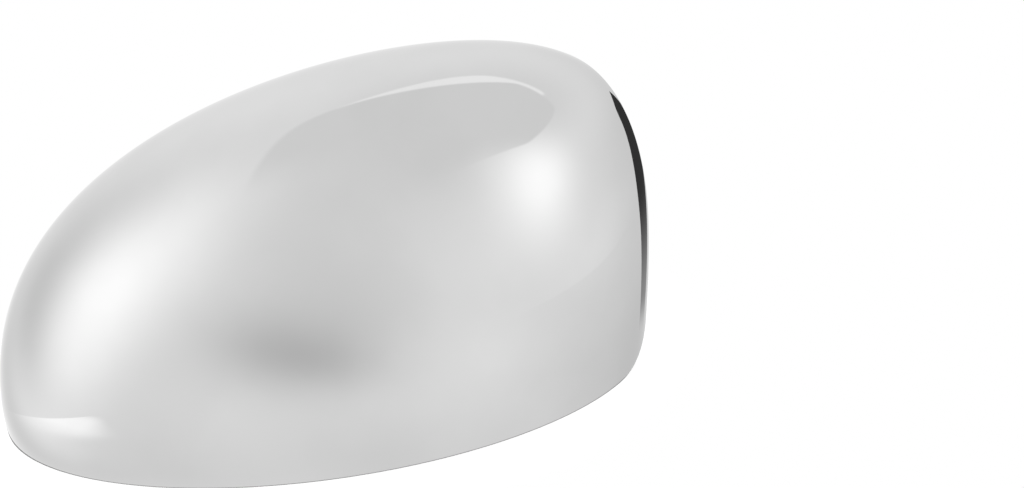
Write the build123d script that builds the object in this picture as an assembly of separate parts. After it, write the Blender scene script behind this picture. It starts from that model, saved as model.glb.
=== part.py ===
from build123d import *

import math
import os

# The form is half an egg, open below. It lies on its mouth, with +X towards the car door
# (inboard), -Y the top edge of the mirror, +Y the lower edge, and +Z away from the mirror glass.
# All sizes are millimetres.

# Mouth outline
HALF_LENGTH = 110.0        # half the mouth's length, before the arm opening is cut
END_FULLNESS = 47.4        # extra length that fills out the two ends, beyond a plain ellipse
MIDDLE_SHIFT = 7.3         # how far the widest section stands inboard of half way
HALF_WIDTH = 73.6          # half the mouth's width at the widest section
END_TAPER = 32.5           # how much narrower the half width becomes towards the ends
BOW = 10.5                 # how far the middle bows towards the lower edge

# Height above the mouth
CROWN_HEIGHT = 99.6        # height at the widest section
INBOARD_RISE = 42.9        # extra height gained towards the inboard end
LOWER_RISE = 24.2          # extra height gained towards the lower edge
TWIST = 27.0               # height lost at the inboard lower corner, and gained at the top one
CROWN_LEAN = 14.3          # how far the crown leans over towards the top edge

# Moulding
WALL = 2.5                 # wall thickness
EDGE_BREAK = 0.5           # bevel along the trimmed edges

# Opening for the mirror's arm: a leaning plane cuts off the inboard lower corner
ARM_CUT_DEPTH = 4.8        # how far the cut reaches in from the inboard tip
ARM_CUT_ANGLE = 28.1       # degrees that the cut is turned from the length towards the lower edge
ARM_CUT_LEAN = 8.5         # degrees that the cut leans in as it rises
TOP_CORNER_RADIUS = 28.0   # round where the opening runs into the mouth, at the top edge
LOWER_CORNER_RADIUS = 10.0  # the same at the lower edge

# Fineness of the skin
SKIN_POINTS = 25           # points along each side of the skin's grid
SKIN_MARGIN = 1.08         # size of the skin before it is trimmed, as a share of the mouth's
SKIN_TOLERANCE = 0.005


def egg_point(x, y, z):
    """Point of the egg for a point x, y, z of the unit sphere."""
    length = HALF_LENGTH * x + (END_FULLNESS * x + MIDDLE_SHIFT) * (1 - x * x)
    width = (HALF_WIDTH - END_TAPER * x * x) * y + BOW * (1 - x * x) - CROWN_LEAN * z * z
    height = z * (CROWN_HEIGHT + INBOARD_RISE * x + LOWER_RISE * y - TWIST * x * y)
    return Vector(length, width, height)


def skin_point(u, v):
    """Point of the skin. The mouth is the circle u*u + v*v = 1, and the crown is at 0, 0."""
    spread = 1 + u * u + v * v
    return egg_point(2 * u / spread, 2 * v / spread, (2 - spread) / spread)


def outer_skin():
    """The smooth outside of the cover, running a little past the mouth."""
    steps = [SKIN_MARGIN * (2 * i / (SKIN_POINTS - 1) - 1) for i in range(SKIN_POINTS)]
    grid = [[skin_point(u, v) for v in steps] for u in steps]
    return Face.make_surface_from_array_of_points(grid, tol=SKIN_TOLERANCE, min_deg=3, max_deg=6)


def trim_side(corner_radius, reach, side):
    """One half of the trimming tool: all that lies below the mouth or inboard of the arm cut."""
    tip = egg_point(1, 0, 0)
    inboard = Vector(1, 0, 0).rotate(Axis.Z, ARM_CUT_ANGLE)
    foot = tip - inboard * ARM_CUT_DEPTH
    across = Plane(origin=foot, x_dir=-inboard, z_dir=Vector(0, 1, 0).rotate(Axis.Z, ARM_CUT_ANGLE))
    lean = reach * math.tan(math.radians(ARM_CUT_LEAN))
    outline = Polyline(
        (-reach, -reach), (2 * reach, -reach), (2 * reach, 0), (0, 0), (lean, reach), (-reach, reach),
        close=True,
    )
    profile = make_face(outline)
    corner = profile.vertices().sort_by_distance((0, 0, 0))[0]
    profile = fillet(corner, corner_radius)
    return extrude(across * profile, amount=side * reach)


def trimmed_shell():
    """A skin thickened inwards, then trimmed flat at the mouth and along the arm opening."""
    shell = Solid.thicken(outer_skin(), WALL, normal_override=(0, 0, -1))
    reach = 2 * HALF_LENGTH
    return shell - trim_side(TOP_CORNER_RADIUS, reach, -1) - trim_side(LOWER_CORNER_RADIUS, reach, 1)


def mirror_cover():
    """The moulded cover with its edges broken, centred over the origin on its mouth."""
    shell = trimmed_shell()
    middle = Compound(shell.edges()).bounding_box().center()
    inside, outside = shell.faces().sort_by(SortBy.AREA)[-2:]
    cover = chamfer(inside.edges() + outside.edges(), EDGE_BREAK)
    return cover.moved(Location((-middle.X, -middle.Y, 0)))


os.makedirs("parts", exist_ok=True)
cover = mirror_cover()
cover.label = "mirror_cover"
export_step(cover, "parts/mirror_cover.step")
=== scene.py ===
import math

import bpy
import numpy as np
from mathutils import Matrix, Vector


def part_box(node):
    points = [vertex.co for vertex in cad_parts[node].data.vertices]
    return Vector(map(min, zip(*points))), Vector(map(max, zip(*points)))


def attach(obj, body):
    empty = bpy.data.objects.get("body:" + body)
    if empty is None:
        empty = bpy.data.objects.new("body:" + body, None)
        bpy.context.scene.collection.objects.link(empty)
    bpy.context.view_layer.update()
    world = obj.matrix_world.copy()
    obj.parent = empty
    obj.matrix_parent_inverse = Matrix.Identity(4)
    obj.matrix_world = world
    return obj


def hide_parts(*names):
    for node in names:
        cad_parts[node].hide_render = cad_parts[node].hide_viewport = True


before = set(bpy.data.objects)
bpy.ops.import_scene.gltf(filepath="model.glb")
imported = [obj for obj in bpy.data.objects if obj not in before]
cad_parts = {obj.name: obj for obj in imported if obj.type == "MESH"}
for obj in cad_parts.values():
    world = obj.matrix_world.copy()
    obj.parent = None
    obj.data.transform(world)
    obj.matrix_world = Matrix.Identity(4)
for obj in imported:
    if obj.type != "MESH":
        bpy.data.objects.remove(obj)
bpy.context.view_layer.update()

bl_info = {
    "name": "Wing mirror cover",
    "version": (1, 0, 0),
    "blender": (4, 5, 0),
    "location": "3D View > Sidebar > Mirror cover",
    "description": "A chrome-plated wing mirror cover, built over its solid, and the studio round it",
    "category": "Object",
}

NODE = "mirror_cover"
BODY = "root"

WHITE = (1.0, 1.0, 1.0, 1.0)
PHOTO_ASPECT = 1024 / 488        # width to height of the picture
SENSOR_WIDTH = 36.0              # millimetres
NEAREST_SIGHT = 0.01             # metres; the camera sees nothing nearer

# Working out the shell
NUDGE = 1e-4                     # small step that normals are measured with
HALVINGS = 40                    # of a ray's reach, to find where it meets the trim
RAY_START = (-0.5, -0.38)        # place on the skin's grid that sees all of the trim
FARTHEST_RAY = 1.8               # longest reach over the grid from there
EDGE_CORNERS = (-120.0, 0.0, 57.0, 95.0, 240.0)  # degrees of the rays to the trimmed edge's corners
EDGE_SAMPLES = 4096              # rays that measure each side of that edge
ARC_STEPS = 4                    # faces round each broken edge

# Noise in the finishes: its size in metres and its detail, and the values between which it shows
TONE_NOISE, TONE_LIMITS = (0.035, 3.0), (0.35, 0.65)
BREATH_NOISE, BREATH_LIMITS = (0.012, 4.0), (0.3, 0.75)
RIPPLE_NOISE, RIPPLE_STRENGTH, RIPPLE_DEPTH = (0.004, 1.0), 0.05, 0.00002
FLOW_NOISE, FLOW_LIMITS = (0.018, 4.0), (0.3, 0.7)
DULL_NOISE, DULL_LIMITS = (0.006, 3.0), (0.3, 0.7)
DULL_SHARES = (0.85, 1.2)        # of the plastic's roughness, where it is least and most dull
GRAIN_NOISE, GRAIN_STRENGTH = (0.0004, 2.0), 0.5

# The light tent
GLOW_ASIDE = (2.0, 2.0, 0.0)     # weights of a direction's parts that measure how far aside it points
GLOW_BEHIND = 1.0001             # keeps that measure finite straight behind a glow
BELL_FALL = -0.5                 # of a bell curve, over its square
FOLD_EDGE = 0.06                 # share of the fold's height that its clear edge fades over
SHARP_EDGE = (0.97, 1.03)        # where an edge at one starts and stops fading
ROOF_SQUARENESS = (5.0, 2.2)     # of the roof panel's left and right ends; two is an oval
ROOF_ENDS = (-0.5, 0.5)          # places along the panel between which one turns into the other
ROOF_RISE = (0.05, 0.15)         # upward part of the directions between which the panel appears
ROOF_FRONT = -1.0                # place of the panel's front edge
SLIT_TIP = 0.1                   # share of the slit's width that its tips fade below
SLIT_REAR = (0.0, 0.5)           # places across the panel between which the slit appears

# The floor and what only shows in reflections
FLOOR_ROUGHNESS = 0.9
FLOOR_CORNERS = 128
SHADOW_TUCK = 0.03                 # share of the mouth's size that the painted contact shadow reaches under it
POOL_SLANT = -0.9                # slopes of the light pool's slanting end and of its far side
POOL_SPLAY = 0.09
POOL_START = (-0.020, 0.100)     # metres along the pool between which it appears
POOL_END = (0.150, 0.500)        # and disappears
POOL_CORNER = (-0.025, 0.025)    # metres beyond its slanting end between which it appears
POOL_SIDE = (0.040, 0.080)       # metres across it between which it disappears
FLAG_PALING = (-0.06, 0.06)      # metres up the dark flag between which it darkens
FLAG_FADE = 0.47                 # share of its foot's depth above which it shows in full
FLAG_POINTS = 256                # along its curved edge


# Kinds of property

def length(name, description, default):
    """A length in metres."""
    return bpy.props.FloatProperty(
        name=name, description=description, default=default, precision=4, unit="LENGTH"
    )


def angle(name, description, degrees):
    """An angle, given in degrees."""
    return bpy.props.FloatProperty(
        name=name, description=description, default=math.radians(degrees), unit="ROTATION"
    )


def share(name, description, default):
    """A plain number, such as a brightness or a roughness."""
    return bpy.props.FloatProperty(
        name=name, description=description, default=default, precision=3, subtype="FACTOR"
    )


def point(name, description, default):
    """A point in metres."""
    return bpy.props.FloatVectorProperty(
        name=name, description=description, default=default, precision=4, subtype="TRANSLATION"
    )


def colour(name, description, default):
    """A linear colour."""
    return bpy.props.FloatVectorProperty(
        name=name, description=description, default=default, min=0.0, max=1.0, subtype="COLOR"
    )


def aim(name, description, azimuth, elevation, tilt):
    """A direction from the cover, in degrees: clockwise from +Y, above the floor, and turned."""
    default = [math.radians(degrees) for degrees in (azimuth, elevation, tilt)]
    return bpy.props.FloatVectorProperty(
        name=name, description=description, default=default, subtype="EULER"
    )


def spread(name, description, width, height):
    """How wide and high a soft light looks from the cover, given in degrees."""
    return bpy.props.FloatVectorProperty(
        name=name, description=description, size=2,
        default=(math.radians(width), math.radians(height)), unit="ROTATION"
    )


def pair(name, description, default):
    """Two plain numbers, such as a length and a width."""
    return bpy.props.FloatVectorProperty(
        name=name, description=description, size=2, default=default, precision=3, subtype="XYZ"
    )


class CoverSizes(bpy.types.PropertyGroup):
    """Sizes of the plated shell, the same as the solid's."""

    half_length: length("Half length", "Half the mouth's length, before it is cut", 0.110)
    end_fullness: length("End fullness", "Extra length that fills out the two ends", 0.0474)
    middle_shift: length("Middle shift", "How far inboard the widest section stands", 0.0073)
    half_width: length("Half width", "Half the mouth's width at the widest section", 0.0736)
    end_taper: length("End taper", "How much narrower the half width is at the ends", 0.0325)
    bow: length("Bow", "How far the middle bows towards the lower edge", 0.0105)
    crown_height: length("Crown height", "Height at the widest section", 0.0996)
    inboard_rise: length("Inboard rise", "Extra height gained towards the inboard end", 0.0429)
    lower_rise: length("Lower rise", "Extra height gained towards the lower edge", 0.0242)
    twist: length("Twist", "Height lost at the inboard lower corner", 0.0270)
    crown_lean: length("Crown lean", "How far the crown leans towards the top edge", 0.0143)
    wall: length("Wall", "Wall thickness", 0.0025)
    edge_break: length("Edge break", "Round along the trimmed edges", 0.0005)
    cut_depth: length("Cut depth", "How far the arm opening reaches in from the inboard tip", 0.0048)
    cut_angle: angle("Cut angle", "Turn of the arm opening towards the lower edge", 28.1)
    cut_lean: angle("Cut lean", "How much the arm opening leans in as it rises", 8.5)
    top_corner: length("Top corner", "Round of the opening's foot at the top edge", 0.028)
    lower_corner: length("Lower corner", "The same round at the lower edge", 0.010)
    rings: bpy.props.IntProperty(
        name="Rings", description="Rings of faces from the middle to the edge",
        default=88, min=8, max=100,
    )


class CoverFinish(bpy.types.PropertyGroup):
    """Finish of the plating outside and of the bare plastic inside."""

    chrome: colour("Chrome", "What the plating reflects, seen straight on", (0.62, 0.62, 0.62))
    chrome_thin: colour("Thin chrome", "The same where the plating is thinner", (0.60, 0.60, 0.60))
    gloss: share("Gloss", "Roughness where the plating is clearest", 0.02)
    haze: share("Haze", "Roughness where the plating is haziest", 0.05)
    plastic: colour("Plastic", "Bare plastic of the inside", (0.026, 0.026, 0.027))
    plastic_pale: colour("Pale plastic", "Flow marks in the bare plastic", (0.036, 0.036, 0.037))
    plastic_sheen: share("Plastic sheen", "Roughness of the bare plastic", 0.45)
    grain: length("Grain", "Depth of the moulding grain inside", 0.00002)


class StudioSizes(bpy.types.PropertyGroup):
    """The camera, the floor and the light tent."""

    camera_place: point("Camera place", "Where the camera stands", (-0.00592, -0.26038, 0.17653))
    camera_aim: point("Camera aim", "Point in the middle of the picture", (0.08134, 0.05483, 0.0))
    lens: bpy.props.FloatProperty(
        name="Lens", description="Focal length on a sensor 36 mm wide", default=28.72, unit="CAMERA"
    )
    floor_edge: share("Floor edge", "Where the floor ends, as a share of the cover's outline", 1.3)
    floor_clear: share("Floor clear", "Where the floor starts to fade out", 1.0)
    floor_pale: colour("Floor", "The pale floor", (0.95, 0.95, 0.95))
    floor_glow: share("Floor glow", "Light that shines up through the floor", 0.4)
    # Width and brightness of the painted contact shadow, a dark strip that stands in for the shade
    # under the rim
    shadow_width_share: share("Contact line", "Width of the dark line, as a share of the mouth's size", 0.005)
    shadow_level: share("Line level", "Brightness of that line", 0.35)
    wall_level: share("Walls", "Brightness of the tent's walls", 1.454)
    wall_rise: share("Wall rise", "Change of that brightness towards the top", -0.489)
    wall_back: share("Wall back", "Change of that brightness towards the back", 0.136)
    backdrop: share("Backdrop", "Brightness of the tent as the camera sees it", 1.0)
    left_lamp: aim("Left lamp", "Lamp glowing through the left wall", -97.0, 16.6, -11.9)
    left_spread: spread("Left spread", "Size of that glow", 13.1, 21.2)
    left_level: share("Left level", "Brightness of that glow", 0.674)
    right_lamp: aim("Right lamp", "Lamp glowing through the right wall", 144.3, 30.6, -15.5)
    right_spread: spread("Right spread", "Size of that glow", 8.6, 16.7)
    right_level: share("Right level", "Brightness of that glow", 0.500)
    low_lamp: aim("Low lamp", "Lamp glowing low through the front wall", 160.9, -17.7, -37.9)
    low_spread: spread("Low spread", "Size of that glow", 16.8, 36.3)
    low_level: share("Low level", "Brightness of that glow", 0.603)
    end_lamp: aim("End lamp", "Lamp glowing low at the outboard end", -82.8, -12.2, 19.1)
    end_spread: spread("End spread", "Size of that glow", 17.7, 9.4)
    end_level: share("End level", "Brightness of that glow", 0.402)
    door: aim("Door", "Dim opening in the front wall", -156.5, 8.9, 36.1)
    door_spread: spread("Door spread", "Size of that opening", 19.4, 5.0)
    door_level: share("Door level", "Brightness lost there", -0.224)
    sill: aim("Sill", "Softer shade round that opening", -172.2, 7.2, 17.3)
    sill_spread: spread("Sill spread", "Size of that shade", 45.6, 8.3)
    sill_level: share("Sill level", "Brightness lost there", -0.077)
    back_foot: aim("Back foot", "Dim foot of the back wall", 8.6, -25.1, 6.3)
    back_spread: spread("Back spread", "Size of that dim foot", 99.4, 39.0)
    back_level: share("Back level", "Brightness lost there", -0.785)
    right_foot: aim("Right foot", "Dim foot of the right wall", 140.6, -34.1, 34.9)
    right_foot_spread: spread("Right foot spread", "Size of that dim foot", 67.5, 22.3)
    right_foot_level: share("Right foot level", "Brightness lost there", -0.875)
    left_foot: aim("Left foot", "Dim foot of the left wall", -119.1, -35.3, 41.1)
    left_foot_spread: spread("Left foot spread", "Size of that dim foot", 60.2, 28.1)
    left_foot_level: share("Left foot level", "Brightness lost there", -0.687)
    fold: aim("Fold", "Fold low in the right wall, with a clear lower edge", 120.8, -12.8, 4.0)
    fold_spread: spread("Fold spread", "Size of that fold", 16.0, 7.0)
    fold_level: share("Fold level", "Brightness gained there", 0.05)
    roof_middle: pair("Roof middle", "Middle of the roof panel, at a height of one", (-0.027, -0.252))
    roof_half: pair("Roof half", "Half the roof panel's length and width", (0.730, 0.510))
    roof_turn: angle("Roof turn", "Turn of the roof panel", -27.4)
    roof_level: share("Roof level", "Brightness of the roof panel", 0.965)
    roof_fade: share("Roof fade", "Share of the panel's half width that its front fades over", 0.92)
    roof_lag: share("Roof lag", "How much later that fade starts at the panel's left end", 0.5)
    roof_slant: share("Roof slant", "Slope of the panel's rear edge at its right end", 0.55)
    roof_reach: share("Roof reach", "Half width that the slanted edge has in the middle", 1.073)
    roof_corner: pair("Roof corner", "Slope and reach of the front right corner's cut", (0.9, 1.17))
    slit_ends: pair("Slit ends", "Ends of the slit, as a share of the panel's half length", (-0.9, 0.6))
    slit_middle: pair("Slit middle", "Where the slit starts and stops being widest", (-0.3, 0.0))
    slit_width: share("Slit width", "Width there, as a share of the panel's half width", 0.25)
    slit_reach: share("Slit reach", "Half width that the slit's slanted edge has in the middle", 1.148)
    slit_level: share("Slit level", "Brightness of the slit", 1.262)
    pool_place: point("Pool place", "Inner end of the pool's straight edge", (-0.125, -0.014, 0.0))
    pool_turn: angle("Pool turn", "Turn of that edge", 210.0)
    pool_size: pair("Pool size", "Length and width of the pool", (0.50, 0.08))
    pool_level: share("Pool level", "Brightness that it adds", 0.33)
    flag_place: point("Flag place", "Where its inner edge crosses the floor", (0.193, -0.0052, 0.0))
    flag_turn: angle("Flag turn", "Turn of the flag's foot", 120.0)
    flag_lean: angle("Flag lean", "Angle that the flag stands at, from lying flat", 60.0)
    flag_ends: pair("Flag ends", "Foot and tip of the flag, measured up it", (-0.095, 0.120))
    flag_width: length("Flag width", "Width of the flag at its foot", 0.0375)
    flag_bend: length("Flag bend", "Height where the flag's inner edge starts to curve", 0.040)
    flag_curve: share("Flag curve", "How strongly that edge curves", 3.7)
    flag_round: share("Flag round", "Power that rounds the flag's tip, sharper as it grows", 40.0)
    flag_level: share("Flag level", "Brightness of the flag's upper part", 0.045)
    flag_foot: share("Flag foot", "Brightness of the flag's foot", 0.36)


# The plated shell

def unit(vectors):
    """The same directions, each with a length of one."""
    return vectors / np.linalg.norm(vectors, axis=-1, keepdims=True)


def skin_points(sizes, u, v):
    """Points of the egg-shaped outside. The mouth is the circle u*u + v*v = 1, the crown is at 0, 0."""
    span = 1 + u * u + v * v
    x, y, z = 2 * u / span, 2 * v / span, (2 - span) / span
    along = sizes.half_length * x + (sizes.end_fullness * x + sizes.middle_shift) * (1 - x * x)
    across = (sizes.half_width - sizes.end_taper * x * x) * y
    across += sizes.bow * (1 - x * x) - sizes.crown_lean * z * z
    rise = sizes.crown_height + sizes.inboard_rise * x
    rise += sizes.lower_rise * y - sizes.twist * x * y
    return np.stack((along, across, z * rise), axis=-1)


def skin_normals(sizes, u, v):
    """Directions straight out of the skin."""
    along_u = skin_points(sizes, u + NUDGE, v) - skin_points(sizes, u - NUDGE, v)
    along_v = skin_points(sizes, u, v + NUDGE) - skin_points(sizes, u, v - NUDGE)
    return unit(np.cross(along_u, along_v))


def shell_points(sizes, u, v, depth):
    """Points of the skin, moved straight in by a depth."""
    return skin_points(sizes, u, v) - depth * skin_normals(sizes, u, v)


def trim_margin(sizes, points):
    """How far points lie inside the trim: above the mouth, and outboard of the arm opening's round."""
    cos_turn, sin_turn = math.cos(sizes.cut_angle), math.sin(sizes.cut_angle)
    cos_lean, sin_lean = math.cos(sizes.cut_lean), math.sin(sizes.cut_lean)
    x, y, height = points[..., 0] - sizes.half_length, points[..., 1], points[..., 2]
    inset = -(x * cos_turn + y * sin_turn) - sizes.cut_depth
    beside = y * cos_turn - x * sin_turn
    radius = np.where(beside < 0, sizes.top_corner, sizes.lower_corner)
    plain = np.minimum(height, inset * cos_lean - height * sin_lean)
    before = radius * (1 + sin_lean) / cos_lean - inset
    below = radius - height
    in_corner = (before > 0) & (below * cos_lean > -before * sin_lean)
    return np.where(in_corner, radius - np.hypot(before, below), plain)


def along_ray(reach, angles):
    """Places on the skin's grid at the ends of rays."""
    return RAY_START[0] + reach * np.cos(angles), RAY_START[1] + reach * np.sin(angles)


def ray_lengths(sizes, angles, depth, margin):
    """How far rays run over the skin, at a depth, before the trim is a margin away."""
    low, high = np.zeros_like(angles), np.full_like(angles, FARTHEST_RAY)
    for _ in range(HALVINGS):
        middle = (low + high) / 2
        points = shell_points(sizes, *along_ray(middle, angles), depth)
        inside = trim_margin(sizes, points) > margin
        low, high = np.where(inside, middle, low), np.where(inside, high, middle)
    return low


def trim_sides(sizes, depth, margin):
    """The four sides of the trimmed edge: places on the skin's grid, shared out evenly along each."""
    sides = []
    for start, end in zip(EDGE_CORNERS, EDGE_CORNERS[1:]):
        angles = np.radians(np.linspace(start, end, EDGE_SAMPLES))
        u, v = along_ray(ray_lengths(sizes, angles, depth, margin), angles)
        points = shell_points(sizes, u, v, depth)
        passed = np.append(0, np.cumsum(np.linalg.norm(np.diff(points, axis=0), axis=-1)))
        stops = np.linspace(0, passed[-1], 2 * sizes.rings + 1)
        sides.append(np.stack((np.interp(stops, passed, u), np.interp(stops, passed, v)), axis=-1))
    return sides


def trim_corner(sizes, depth):
    """Sharp corner of the trim along the skin at a depth, before it is broken."""
    loop = np.concatenate([side[:-1] for side in trim_sides(sizes, depth, 0.0)])
    return shell_points(sizes, loop[:, 0], loop[:, 1], depth)


def curved_skin(sizes, depth):
    """Points and outward normals of the skin at a depth, on a grid within the edge's four sides."""
    top, inboard, lower, outboard = trim_sides(sizes, depth, sizes.edge_break)
    lower, outboard = lower[::-1], outboard[::-1]
    shares = np.linspace(0, 1, len(top))
    s, t = shares[:, None, None], shares[None, :, None]
    grid = (1 - t) * top[:, None] + t * lower[:, None] + (1 - s) * outboard[None] + s * inboard[None]
    grid -= (1 - t) * ((1 - s) * top[0] + s * top[-1]) + t * ((1 - s) * lower[0] + s * lower[-1])
    u, v = grid[..., 0].ravel(), grid[..., 1].ravel()
    return shell_points(sizes, u, v, depth), skin_normals(sizes, u, v)


def grid_faces(rings, first):
    """Faces of the skin's grid whose points start at an index, seen from outside."""
    count = 2 * rings + 1
    index = first + np.arange(count * count).reshape(count, count)
    corners = (index[:-1, :-1], index[1:, :-1], index[1:, 1:], index[:-1, 1:])
    return np.stack(corners, axis=-1).reshape(-1, 4)


def grid_edge(rings, first):
    """Indices round the edge of that grid, in the order of its four sides."""
    count = 2 * rings + 1
    index = first + np.arange(count * count).reshape(count, count)
    sides = (index[:-1, 0], index[-1, :-1], index[:0:-1, -1], index[0, :0:-1])
    return np.concatenate(sides)


def trim_normals(sizes, points):
    """Directions straight out of the trimmed edge."""
    steps = np.eye(3) * sizes.edge_break * NUDGE
    slopes = [trim_margin(sizes, points + step) - trim_margin(sizes, points - step) for step in steps]
    return unit(-np.stack(slopes, axis=-1))


def round_over(skin, corner, rim, skin_normal, rim_normal):
    """Loops of points and normals that round a sharp corner from the skin over to the rim."""
    skin_leg = np.linalg.norm(corner - skin, axis=-1, keepdims=True) * skin_normal
    rim_leg = np.linalg.norm(rim - corner, axis=-1, keepdims=True) * rim_normal
    loops = []
    for step in range(1, ARC_STEPS + 1):
        t = step / ARC_STEPS
        points = (1 - t) ** 2 * skin + 2 * t * (1 - t) * corner + t * t * rim
        loops.append((points, unit((1 - t) * skin_leg + t * rim_leg)))
    return loops


def shell_mesh(sizes):
    """Mesh of the whole shell: the skin outside, the trimmed rim with its rounds, and the inside."""
    rings = sizes.rings
    outer, outer_normals = curved_skin(sizes, 0.0)
    inner, inner_normals = curved_skin(sizes, sizes.wall)
    edge = grid_edge(rings, 0)
    outer_corner, inner_corner = trim_corner(sizes, 0.0), trim_corner(sizes, sizes.wall)
    inward = unit(inner_corner - outer_corner) * sizes.edge_break
    rim_normals = trim_normals(sizes, outer_corner)
    loops = round_over(
        outer[edge], outer_corner, outer_corner + inward, outer_normals[edge], rim_normals
    )
    inner_loops = round_over(
        inner[edge], inner_corner, inner_corner - inward, -inner_normals[edge], rim_normals
    )
    loops += inner_loops[::-1]
    points = np.concatenate([outer] + [loop[0] for loop in loops] + [inner])
    normals = np.concatenate([outer_normals] + [loop[1] for loop in loops] + [-inner_normals])
    starts = [len(outer) + len(edge) * k for k in range(len(loops) + 1)]
    rows = [edge] + [start + np.arange(len(edge)) for start in starts[:-1]]
    rows.append(grid_edge(rings, starts[-1]))
    rim = [
        np.stack((a, b, np.roll(b, -1), np.roll(a, -1)), axis=-1) for a, b in zip(rows, rows[1:])
    ]
    outside = np.concatenate([grid_faces(rings, 0)] + rim)
    inside = grid_faces(rings, starts[-1])[:, ::-1]
    low, high = (np.array(corner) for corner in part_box(NODE))
    least, most = points.min(axis=0), points.max(axis=0)
    points = low + (points - least) * (high - low) / (most - least)
    mesh = bpy.data.meshes.new("cover_shell")
    faces = np.concatenate((outside, inside))
    mesh.from_pydata(points.tolist(), [], faces.tolist(), shade_flat=False)
    mesh.normals_split_custom_set_from_vertices(normals.tolist())
    finish = np.concatenate((np.zeros(len(outside), int), np.ones(len(inside), int)))
    mesh.polygons.foreach_set("material_index", finish)
    if mesh.validate():
        raise RuntimeError("the shell's mesh has faulty faces")
    return mesh


# Materials

def add_node(tree, kind, inputs=None, **settings):
    """A new node with its settings, and its inputs set or linked by name or place."""
    node = tree.nodes.new(kind)
    for key, value in settings.items():
        setattr(node, key, value)
    for key, value in (inputs or {}).items():
        if isinstance(value, bpy.types.NodeSocket):
            tree.links.new(value, node.inputs[key])
        else:
            node.inputs[key].default_value = value
    return node


def calculate(tree, operation, *values):
    """Result of a Math node."""
    return add_node(tree, "ShaderNodeMath", dict(enumerate(values)), operation=operation).outputs[0]


def ease(tree, value, low, high, at_low=0.0, at_high=1.0):
    """Result of a smooth Map Range node."""
    inputs = {0: value, 1: low, 2: high, 3: at_low, 4: at_high}
    node = add_node(tree, "ShaderNodeMapRange", inputs, interpolation_type="SMOOTHSTEP")
    return node.outputs[0]


def noise(tree, place, size, detail):
    """Noise whose clouds are about a size in metres across."""
    inputs = {"Vector": place, "Scale": 1 / size, "Detail": detail}
    return add_node(tree, "ShaderNodeTexNoise", inputs).outputs["Fac"]


def mix_colours(tree, share_of_second, first, second):
    """Colour between two colours."""
    node = add_node(tree, "ShaderNodeMix", data_type="RGBA")
    tree.links.new(share_of_second, node.inputs["Factor"])
    node.inputs["A"].default_value = (*first, 1.0)
    node.inputs["B"].default_value = (*second, 1.0)
    return next(s for s in node.outputs if s.type == "RGBA")


def new_material(name):
    """A material with a Principled shader, its node tree, the shader and the place on the object."""
    material = bpy.data.materials.new(name)
    material.use_nodes = True
    tree = material.node_tree
    place = add_node(tree, "ShaderNodeTexCoord").outputs["Object"]
    return material, tree, tree.nodes["Principled BSDF"], place


def add_bump(tree, shader, height, strength, depth):
    """Bumps in a shader's surface."""
    inputs = {"Height": height, "Strength": strength, "Distance": depth}
    bump = add_node(tree, "ShaderNodeBump", inputs).outputs["Normal"]
    tree.links.new(bump, shader.inputs["Normal"])


def chrome_plating(finish):
    """Bright chrome on plastic: a clear mirror with faint haze and the moulding's slightest ripple."""
    material, tree, shader, place = new_material("chrome_plating")
    clouds = ease(tree, noise(tree, place, *TONE_NOISE), *TONE_LIMITS)
    tone = mix_colours(tree, clouds, finish.chrome, finish.chrome_thin)
    tree.links.new(tone, shader.inputs["Base Color"])
    breath = noise(tree, place, *BREATH_NOISE)
    breath = ease(tree, breath, *BREATH_LIMITS, finish.gloss, finish.haze)
    tree.links.new(breath, shader.inputs["Roughness"])
    add_bump(tree, shader, noise(tree, place, *RIPPLE_NOISE), RIPPLE_STRENGTH, RIPPLE_DEPTH)
    shader.inputs["Metallic"].default_value = 1.0
    return material


def bare_plastic(finish):
    """Dark moulded plastic with flow marks and a fine grain."""
    material, tree, shader, place = new_material("bare_plastic")
    flow = ease(tree, noise(tree, place, *FLOW_NOISE), *FLOW_LIMITS)
    tone = mix_colours(tree, flow, finish.plastic, finish.plastic_pale)
    tree.links.new(tone, shader.inputs["Base Color"])
    low, high = (finish.plastic_sheen * part for part in DULL_SHARES)
    dull = ease(tree, noise(tree, place, *DULL_NOISE), *DULL_LIMITS, low, high)
    tree.links.new(dull, shader.inputs["Roughness"])
    add_bump(tree, shader, noise(tree, place, *GRAIN_NOISE), GRAIN_STRENGTH, finish.grain)
    return material


# The studio

def facing(azimuth, elevation, tilt):
    """Rotation whose Z axis points along a direction, and whose X axis is level before the tilt."""
    level = Vector((math.cos(azimuth), -math.sin(azimuth), 0.0))
    ahead = Vector((
        math.sin(azimuth) * math.cos(elevation),
        math.cos(azimuth) * math.cos(elevation),
        math.sin(elevation),
    ))
    above = level.cross(ahead)
    first = level * math.cos(tilt) + above * math.sin(tilt)
    return Matrix((first, ahead.cross(first), ahead)).transposed().to_euler("XYZ")


def soft_glow(tree, direction, aimed, size, level, clear_edge=False):
    """Brightness of a soft oval glow, fading like a bell curve, whole or only its upper half."""
    inputs = {"Vector": direction, "Rotation": facing(*aimed), "Scale": (size[0], size[1], 1.0)}
    local = add_node(tree, "ShaderNodeMapping", inputs, vector_type="TEXTURE").outputs[0]
    _, down, depth = add_node(tree, "ShaderNodeSeparateXYZ", {0: local}).outputs
    inputs = {0: local, 1: GLOW_ASIDE}
    flat = add_node(tree, "ShaderNodeVectorMath", inputs, operation="MULTIPLY").outputs[0]
    aside = add_node(tree, "ShaderNodeVectorMath", {0: flat}, operation="LENGTH").outputs["Value"]
    away = calculate(tree, "DIVIDE", aside, calculate(tree, "ADD", depth, GLOW_BEHIND))
    fall = calculate(tree, "MULTIPLY", calculate(tree, "POWER", away, 2.0), BELL_FALL)
    bell = calculate(tree, "EXPONENT", fall)
    if clear_edge:
        bell = calculate(tree, "MULTIPLY", bell, ease(tree, down, -FOLD_EDGE, 0.0, 1.0, 0.0))
    return calculate(tree, "MULTIPLY", bell, level)


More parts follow.
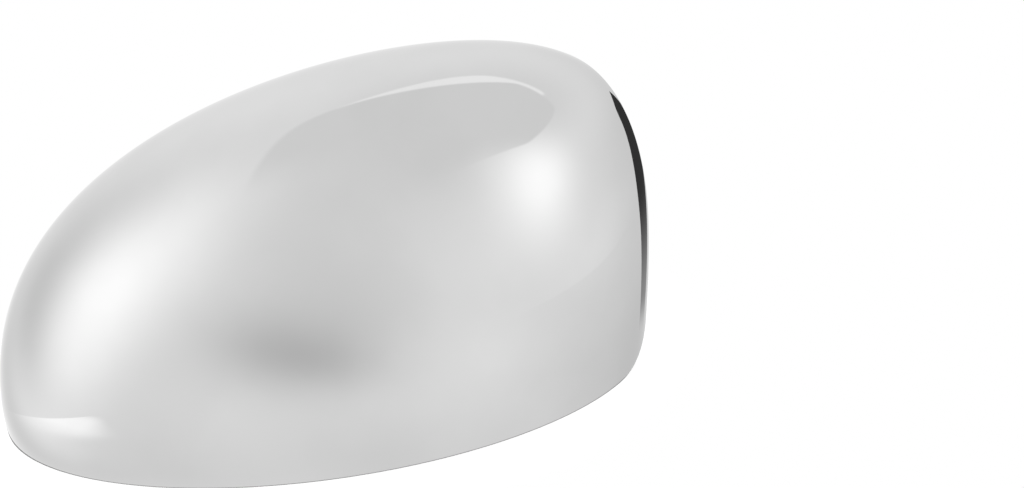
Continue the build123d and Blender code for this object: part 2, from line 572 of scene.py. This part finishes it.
def panel_share(tree, along, across):
    """How much of a panel with bulging sides and round corners shows, where its half size is one."""
    squareness = ease(tree, along, *ROOF_ENDS, *ROOF_SQUARENESS)
    sides = [calculate(tree, "ABSOLUTE", value) for value in (along, across)]
    bulged = [calculate(tree, "POWER", side, squareness) for side in sides]
    root = calculate(tree, "DIVIDE", 1.0, squareness)
    away = calculate(tree, "POWER", calculate(tree, "ADD", *bulged), root)
    return ease(tree, away, *SHARP_EDGE, 1.0, 0.0)


def cut_share(tree, along, across, slope, reach):
    """How much shows of what lies in front of a straight edge with a slope."""
    ahead = calculate(tree, "MULTIPLY_ADD", along, slope, across)
    return ease(tree, calculate(tree, "DIVIDE", ahead, reach), *SHARP_EDGE, 1.0, 0.0)


def roof_place(tree, direction, studio):
    """Place along and across the roof panel in each direction, where its half size is one."""
    height = add_node(tree, "ShaderNodeSeparateXYZ", {0: direction}).outputs["Z"]
    above = calculate(tree, "MAXIMUM", height, ROOF_RISE[0])
    inputs = {0: direction, "Scale": calculate(tree, "DIVIDE", 1.0, above)}
    spot = add_node(tree, "ShaderNodeVectorMath", inputs, operation="SCALE").outputs[0]
    inputs = {
        "Vector": spot, "Location": (*studio.roof_middle, 0.0),
        "Rotation": (0.0, 0.0, studio.roof_turn), "Scale": (*studio.roof_half, 1.0),
    }
    local = add_node(tree, "ShaderNodeMapping", inputs, vector_type="TEXTURE").outputs[0]
    along, across, _ = add_node(tree, "ShaderNodeSeparateXYZ", {0: local}).outputs
    return along, across, ease(tree, height, *ROOF_RISE)


def product(tree, *values):
    """Product of several values."""
    total = values[0]
    for value in values[1:]:
        total = calculate(tree, "MULTIPLY", total, value)
    return total


def roof_shares(tree, direction, studio):
    """How much of the roof panel, faded at its front, and of the slit behind it shows."""
    along, across, raised = roof_place(tree, direction, studio)
    ahead = calculate(tree, "MULTIPLY", across, -1.0)
    whole = product(
        tree, panel_share(tree, along, across),
        cut_share(tree, along, across, studio.roof_slant, studio.roof_reach),
        cut_share(tree, along, ahead, *studio.roof_corner),
    )
    (start, end), (widest, narrower) = studio.slit_ends, studio.slit_middle
    opened = product(
        tree, ease(tree, along, start, widest), ease(tree, along, narrower, end, 1.0, 0.0)
    )
    swell = calculate(tree, "MULTIPLY_ADD", opened, studio.slit_width, 1.0)
    behind = product(
        tree, panel_share(tree, along, calculate(tree, "DIVIDE", across, swell)),
        cut_share(tree, along, across, studio.roof_slant, studio.slit_reach),
    )
    slit = calculate(tree, "MAXIMUM", calculate(tree, "SUBTRACT", behind, whole), 0.0)
    tips, rear = ease(tree, opened, 0.0, SLIT_TIP), ease(tree, across, *SLIT_REAR)
    slit = product(tree, slit, tips, rear, raised)
    left = calculate(tree, "MINIMUM", along, 0.0)
    forward = calculate(tree, "MULTIPLY_ADD", left, studio.roof_lag, across)
    faded = ease(tree, forward, ROOF_FRONT, ROOF_FRONT + studio.roof_fade)
    panel = product(tree, whole, faded, raised)
    return panel, slit


def light_tent(studio):
    """World light: pale tent walls with lamps glowing through, and a roof panel with a slit."""
    world = bpy.data.worlds.new("light_tent")
    bpy.context.scene.world = world
    world.use_nodes = True
    tree = world.node_tree
    tree.nodes.clear()
    direction = add_node(tree, "ShaderNodeTexCoord").outputs["Generated"]
    split = add_node(tree, "ShaderNodeSeparateXYZ", {0: direction}).outputs
    level = calculate(tree, "MULTIPLY_ADD", split["Z"], studio.wall_rise, studio.wall_level)
    level = calculate(tree, "MULTIPLY_ADD", split["Y"], studio.wall_back, level)
    glows = (
        (studio.left_lamp, studio.left_spread, studio.left_level),
        (studio.right_lamp, studio.right_spread, studio.right_level),
        (studio.low_lamp, studio.low_spread, studio.low_level),
        (studio.end_lamp, studio.end_spread, studio.end_level),
        (studio.door, studio.door_spread, studio.door_level),
        (studio.sill, studio.sill_spread, studio.sill_level),
        (studio.back_foot, studio.back_spread, studio.back_level),
        (studio.right_foot, studio.right_foot_spread, studio.right_foot_level),
        (studio.left_foot, studio.left_foot_spread, studio.left_foot_level),
        (studio.fold, studio.fold_spread, studio.fold_level, True),
    )
    for glow in glows:
        level = calculate(tree, "ADD", level, soft_glow(tree, direction, *glow))
    panel, slit = roof_shares(tree, direction, studio)
    for shown, brightness in ((panel, studio.roof_level), (slit, studio.slit_level)):
        inputs = {"Factor": shown, 2: level, 3: brightness}
        level = add_node(tree, "ShaderNodeMix", inputs).outputs[0]
    tent, plain = (
        add_node(tree, "ShaderNodeBackground", {"Color": WHITE, "Strength": strength}).outputs[0]
        for strength in (level, studio.backdrop)
    )
    seen = add_node(tree, "ShaderNodeLightPath").outputs["Is Camera Ray"]
    both = add_node(tree, "ShaderNodeMixShader", {0: seen, 1: tent, 2: plain}).outputs[0]
    add_node(tree, "ShaderNodeOutputWorld", {"Surface": both})


def pale_floor(studio):
    """An oval pale floor that follows the cover's outline and fades into the tent all round."""
    material, tree, shader, place = new_material("pale_floor")
    shader.inputs["Roughness"].default_value = FLOOR_ROUGHNESS
    shader.inputs["Specular IOR Level"].default_value = 0.0
    shader.inputs["Base Color"].default_value = (*studio.floor_pale, 1.0)
    shader.inputs["Emission Color"].default_value = (*studio.floor_pale, 1.0)
    shader.inputs["Emission Strength"].default_value = studio.floor_glow
    away = add_node(tree, "ShaderNodeVectorMath", {0: place}, operation="LENGTH").outputs["Value"]
    clear = add_node(tree, "ShaderNodeBsdfTransparent").outputs[0]
    faded = ease(tree, away, studio.floor_clear, studio.floor_edge)
    both = add_node(tree, "ShaderNodeMixShader", {0: faded, 1: shader.outputs[0], 2: clear})
    tree.links.new(both.outputs[0], tree.nodes["Material Output"].inputs["Surface"])
    bpy.ops.mesh.primitive_circle_add(
        vertices=FLOOR_CORNERS, radius=studio.floor_edge, fill_type="NGON"
    )
    floor = bpy.context.object
    floor.name = "pale_floor"
    low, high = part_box(NODE)
    floor.scale = ((high[0] - low[0]) / 2, (high[1] - low[1]) / 2, 1.0)
    floor.data.materials.append(material)
    floor.visible_glossy = False


def reflected_shape(name, points, faces, material):
    """A flat object that shows only in reflections."""
    mesh = bpy.data.meshes.new(name)
    mesh.from_pydata(points, [], faces)
    mesh.materials.append(material)
    shape = bpy.data.objects.new(name, mesh)
    bpy.context.scene.collection.objects.link(shape)
    shape.visible_camera = False
    shape.visible_diffuse = False
    shape.visible_shadow = False
    return shape


def reflected_card(name, outline, place, turn, lean, material):
    """A flat card that shows only in reflections, with X along its foot and Y up its height."""
    points = [(*corner, 0.0) for corner in outline]
    card = reflected_shape(name, points, [tuple(range(len(points)))], material)
    card.location = place
    card.rotation_euler = (lean, 0.0, turn)


def card_material(name, level):
    """A glowing material, its node tree, its glow, and the place along and up a card."""
    material, tree, shader, place = new_material(name)
    tree.nodes.remove(shader)
    glow = add_node(tree, "ShaderNodeEmission", {"Strength": level})
    tree.links.new(glow.outputs[0], tree.nodes["Material Output"].inputs["Surface"])
    split = add_node(tree, "ShaderNodeSeparateXYZ", {0: place}).outputs
    return material, tree, glow, split["X"], split["Y"]


def painted_contact_shadow(studio, sizes):
    """Painted contact shadow: a thin dark glowing strip on the floor round the mouth, seen only in
    reflections, which the broken edge reflects as the shade under the rim.
    """
    material = card_material("painted_contact_shadow", studio.shadow_level)[0]
    outline = trim_corner(sizes, 0.0)
    outline -= (outline.min(axis=0) + outline.max(axis=0)) / 2
    middle = [(low + high) / 2 for low, high in zip(*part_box(NODE))]
    loops = [outline * grown for grown in (1 - SHADOW_TUCK, 1 + studio.shadow_width_share)]
    points = np.concatenate(loops) + middle
    points[:, 2] = 0.0
    inner = np.arange(len(outline))
    outer = inner + len(outline)
    faces = np.stack((inner, outer, np.roll(outer, -1), np.roll(inner, -1)), axis=-1)
    reflected_shape("painted_contact_shadow", points.tolist(), faces.tolist(), material)


def light_pool(studio):
    """Pool of lamp light on the floor at the outboard end. One edge is straight, and the rest fades."""
    material, tree, glow, along, across = card_material("light_pool", studio.pool_level)
    behind = calculate(tree, "MULTIPLY_ADD", across, POOL_SLANT, along)
    wide = calculate(tree, "MULTIPLY_ADD", along, POOL_SPLAY, across)
    shown = product(
        tree, ease(tree, along, *POOL_START), ease(tree, behind, *POOL_CORNER),
        ease(tree, along, *POOL_END, 1.0, 0.0), ease(tree, wide, *POOL_SIDE, 1.0, 0.0),
    )
    tree.links.new(calculate(tree, "MULTIPLY", shown, studio.pool_level), glow.inputs["Strength"])
    clear = add_node(tree, "ShaderNodeBsdfTransparent").outputs[0]
    both = add_node(tree, "ShaderNodeAddShader", {0: glow.outputs[0], 1: clear}).outputs[0]
    tree.links.new(both, tree.nodes["Material Output"].inputs["Surface"])
    width, depth = studio.pool_size
    outline = ((0, 0), (width, 0), (width, depth), (0, depth))
    reflected_card("light_pool", outline, studio.pool_place, studio.pool_turn, 0.0, material)


def dark_flag(studio):
    """Dark leaf-shaped flag that draws the inboard edge, paling and fading towards its foot."""
    material, tree, dark, _, up = card_material("dark_flag", studio.flag_level)
    foot, tip = studio.flag_ends
    pale = ease(tree, up, *FLAG_PALING, studio.flag_foot, studio.flag_level)
    tree.links.new(pale, dark.inputs["Strength"])
    shown = ease(tree, up, foot, foot * FLAG_FADE)
    clear = add_node(tree, "ShaderNodeBsdfTransparent").outputs[0]
    both = add_node(tree, "ShaderNodeMixShader", {0: shown, 1: clear, 2: dark.outputs[0]})
    tree.links.new(both.outputs[0], tree.nodes["Material Output"].inputs["Surface"])
    heights = np.linspace(foot, tip, FLAG_POINTS)
    bent = np.maximum(heights - studio.flag_bend, 0.0)
    inner = studio.flag_curve * bent ** 2
    inner += (studio.flag_width - inner[-1]) * (bent / bent[-1]) ** studio.flag_round
    outline = [*zip(inner, heights), (studio.flag_width, foot)]
    reflected_card(
        "dark_flag", outline, studio.flag_place, studio.flag_turn, studio.flag_lean, material
    )


def photo_camera(studio):
    """Camera at the picture's own place and angle."""
    data = bpy.data.cameras.new("camera")
    data.sensor_fit = "HORIZONTAL"
    data.sensor_width = SENSOR_WIDTH
    data.sensor_height = SENSOR_WIDTH / PHOTO_ASPECT
    data.lens = studio.lens
    data.clip_start = NEAREST_SIGHT
    camera = bpy.data.objects.new("camera", data)
    bpy.context.scene.collection.objects.link(camera)
    place = Vector(studio.camera_place)
    camera.location = place
    camera.rotation_euler = (Vector(studio.camera_aim) - place).to_track_quat("-Z", "Y").to_euler()
    bpy.context.scene.camera = camera


# Operators, panel and registration

class OBJECT_OT_cover_shell(bpy.types.Operator):
    """Builds the plated shell over its solid"""

    bl_idname = "object.cover_shell"
    bl_label = "Build the shell"

    def execute(self, context):
        finish = context.scene.cover_finish
        mesh = shell_mesh(context.scene.cover_sizes)
        mesh.materials.append(chrome_plating(finish))
        mesh.materials.append(bare_plastic(finish))
        shell = bpy.data.objects.new("cover_shell", mesh)
        context.scene.collection.objects.link(shell)
        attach(shell, BODY)
        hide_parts(NODE)
        return {"FINISHED"}


class OBJECT_OT_cover_studio(bpy.types.Operator):
    """Sets up the floor, the light tent and the camera"""

    bl_idname = "object.cover_studio"
    bl_label = "Set up the studio"

    def execute(self, context):
        studio = context.scene.cover_studio
        pale_floor(studio)
        painted_contact_shadow(studio, context.scene.cover_sizes)
        light_pool(studio)
        dark_flag(studio)
        light_tent(studio)
        photo_camera(studio)
        context.scene.view_settings.view_transform = "Standard"
        return {"FINISHED"}


class VIEW3D_PT_mirror_cover(bpy.types.Panel):
    """Lists the cover's sizes and finishes, and the operators that build it"""

    bl_label = "Mirror cover"
    bl_space_type = "VIEW_3D"
    bl_region_type = "UI"
    bl_category = "Mirror cover"

    def draw(self, context):
        layout = self.layout
        for group, operator in (
            ("cover_sizes", None),
            ("cover_finish", OBJECT_OT_cover_shell.bl_idname),
            ("cover_studio", OBJECT_OT_cover_studio.bl_idname),
        ):
            holder = getattr(context.scene, group)
            box = layout.box()
            for key in holder.__annotations__:
                box.prop(holder, key)
            if operator:
                layout.operator(operator)


CLASSES = (
    CoverSizes, CoverFinish, StudioSizes,
    OBJECT_OT_cover_shell, OBJECT_OT_cover_studio, VIEW3D_PT_mirror_cover,
)


def register():
    """Adds the classes and hangs the property groups on the scene."""
    for item in CLASSES:
        bpy.utils.register_class(item)
    bpy.types.Scene.cover_sizes = bpy.props.PointerProperty(type=CoverSizes)
    bpy.types.Scene.cover_finish = bpy.props.PointerProperty(type=CoverFinish)
    bpy.types.Scene.cover_studio = bpy.props.PointerProperty(type=StudioSizes)


def unregister():
    """Takes all of it away again."""
    del bpy.types.Scene.cover_studio
    del bpy.types.Scene.cover_finish
    del bpy.types.Scene.cover_sizes
    for item in reversed(CLASSES):
        bpy.utils.unregister_class(item)


def main():
    """Builds the cover and its studio."""
    register()
    bpy.ops.object.cover_shell()
    bpy.ops.object.cover_studio()
    bpy.context.view_layer.update()


if __name__ == "__main__":
    main()
